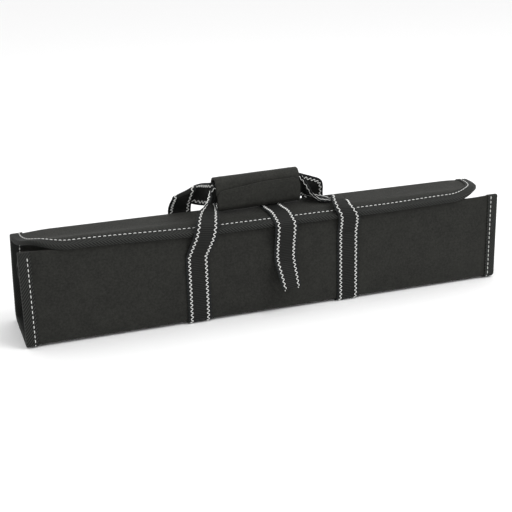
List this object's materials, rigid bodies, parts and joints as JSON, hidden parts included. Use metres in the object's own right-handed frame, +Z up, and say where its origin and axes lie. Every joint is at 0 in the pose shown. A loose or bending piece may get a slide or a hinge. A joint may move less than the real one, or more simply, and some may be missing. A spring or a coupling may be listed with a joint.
{
  "type": "chef knife roll",
  "caption": "Long soft chef knife roll, folded shut into an open-ended padded case with taped edges, webbing carry loops, a wrapped grip and a closure strap.",
  "frame": {"origin": "bottom centre of the whole roll's bounding box, on the surface it rests on", "axes": "+X along the case towards its right end, +Y from the front wall with the closure strap to the back wall, +Z up out of the surface it rests on"},
  "size_m": [0.5222, 0.1048, 0.1419],
  "materials": {
    "black_padded_nylon": "dense matt black woven nylon over thin padding",
    "black_twill_tape": "black twill binding tape with fine slanting ribs",
    "black_webbing": "black ribbed nylon webbing with a slight sheen",
    "thin_black_nylon": "thin smooth black nylon"
  },
  "bodies": {
    "root": {"outer_panel": "black_padded_nylon", "edge_binding": "black_twill_tape", "inner_flap": "thin_black_nylon", "handle_wrap": "black_padded_nylon", "front_strap": "black_webbing", "back_strap": "black_webbing", "closure_strap": "black_webbing"}
  },
  "joints": []
}
